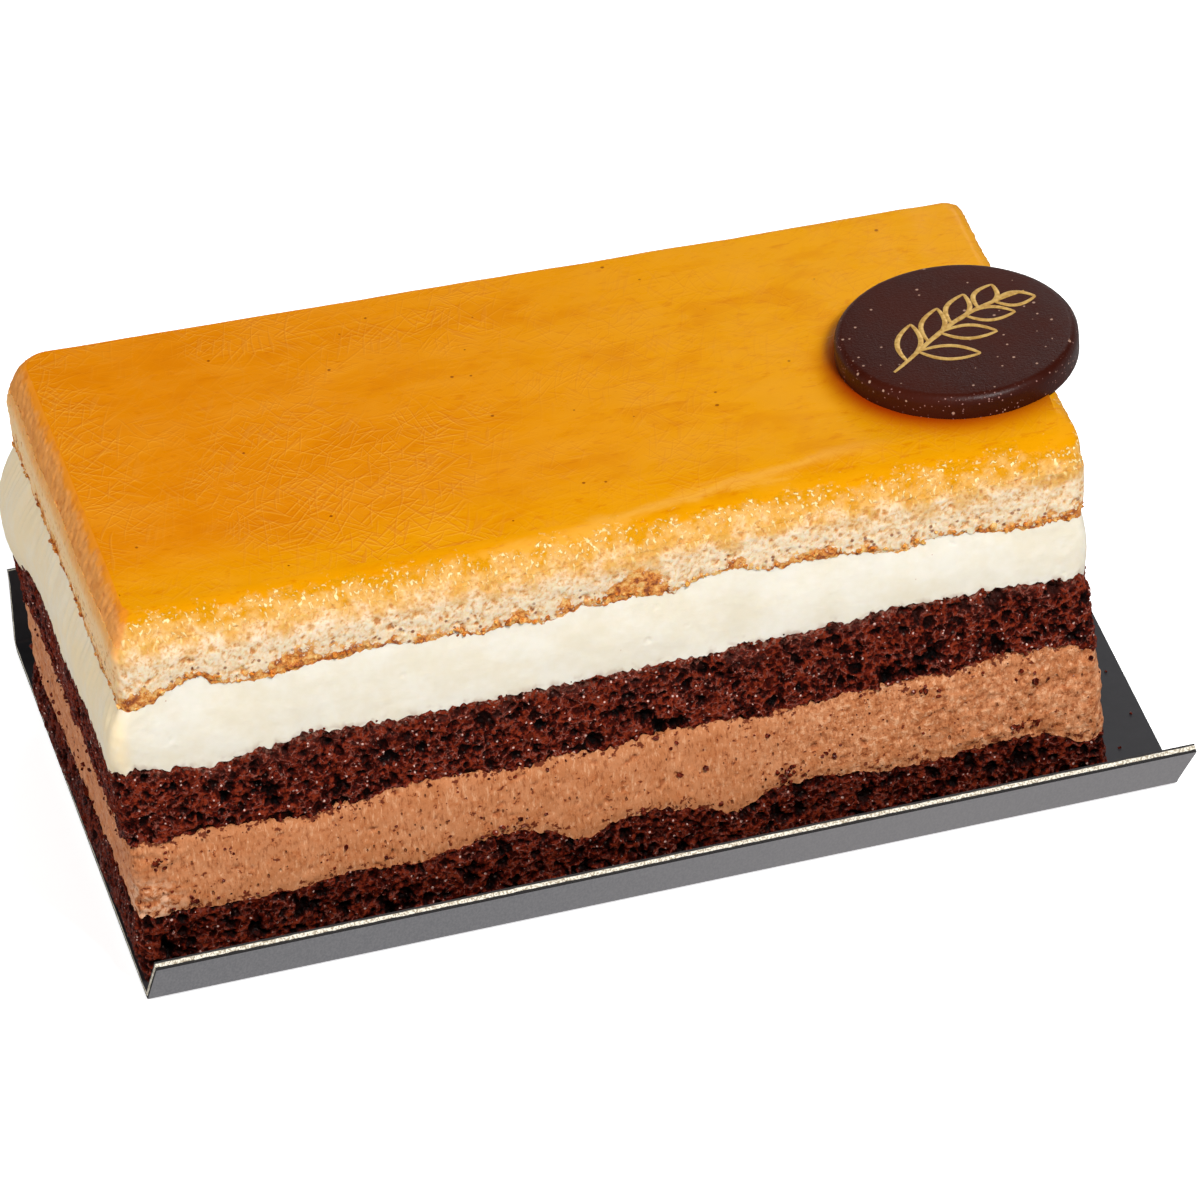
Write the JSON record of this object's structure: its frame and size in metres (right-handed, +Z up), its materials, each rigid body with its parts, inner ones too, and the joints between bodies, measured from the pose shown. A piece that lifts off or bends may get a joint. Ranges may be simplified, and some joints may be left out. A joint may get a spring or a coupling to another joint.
{
  "type": "layered cream sponge cake",
  "caption": "Bar of layered cream sponge cake with fruit jelly on top and a plain chocolate round, standing on a folded card tray.",
  "frame": {"origin": "on the table, under the middle of the whole object's box", "axes": "+X along the bar towards the end with the chocolate round, +Y from the shown long cut face to the back, +Z up"},
  "size_m": [0.1158, 0.075, 0.049],
  "materials": {
    "card": "folded card, black inside and satin silver outside, with a pale cut edge",
    "cocoa_sponge": "moist dark cocoa crumb, open and rough",
    "chocolate_mousse": "soft milk chocolate mousse with fine knife marks",
    "white_cream": "smooth ivory cream, slightly moist",
    "vanilla_sponge": "pale yellow crumb with a golden brown crust underneath",
    "fruit_jelly": "clear amber jelly, wet and softly wrinkled",
    "dark_chocolate": "satin dark chocolate with a fine gold printed ornament"
  },
  "bodies": {
    "root": {"card_tray": "card", "base_sponge": "cocoa_sponge", "chocolate_mousse": "chocolate_mousse", "middle_sponge": "cocoa_sponge", "white_cream": "white_cream", "vanilla_sponge": "vanilla_sponge", "jelly_glaze": "fruit_jelly", "chocolate_disc": "dark_chocolate"}
  },
  "joints": []
}
